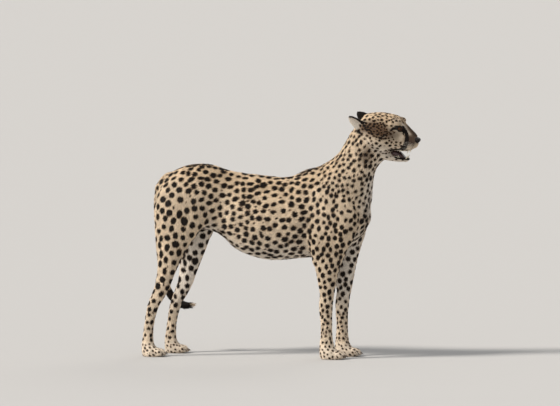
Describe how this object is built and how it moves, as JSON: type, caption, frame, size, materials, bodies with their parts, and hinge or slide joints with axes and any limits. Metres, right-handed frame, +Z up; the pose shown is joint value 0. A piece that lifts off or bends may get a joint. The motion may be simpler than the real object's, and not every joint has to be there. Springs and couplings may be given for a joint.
{
  "type": "cheetah",
  "caption": "Life-size still model of a standing adult cheetah, head raised and mouth open, for display on a floor.",
  "frame": {"origin": "middle of the animal's footprint box, on the floor under the paws", "axes": "+X the way the body faces, +Y to the animal's left, +Z up"},
  "size_m": [1.121, 0.2614, 0.9852],
  "materials": {
    "coat": "short spotted fur",
    "eye": "glossy amber eye with a round pupil",
    "nose": "finely pebbled black nose leather",
    "mouth": "moist tongue and gums",
    "tooth": "ivory teeth",
    "claw": "dark horn",
    "whisker": "pale stiff hair"
  },
  "bodies": {
    "root": {"trunk": "coat", "neck": "coat", "head": "coat", "jaw": "coat", "nose": "nose", "tongue": "mouth", "eye_left": "eye", "eye_right": "eye", "ear_left": "coat", "ear_right": "coat", "foreleg_left": "coat", "foreleg_right": "coat", "forepaw_left": "coat", "forepaw_right": "coat", "hindleg_left": "coat", "hindleg_right": "coat", "hindpaw_left": "coat", "hindpaw_right": "coat", "tail_base": "coat", "tail_middle": "coat", "tail_tip": "coat"}
  },
  "joints": []
}
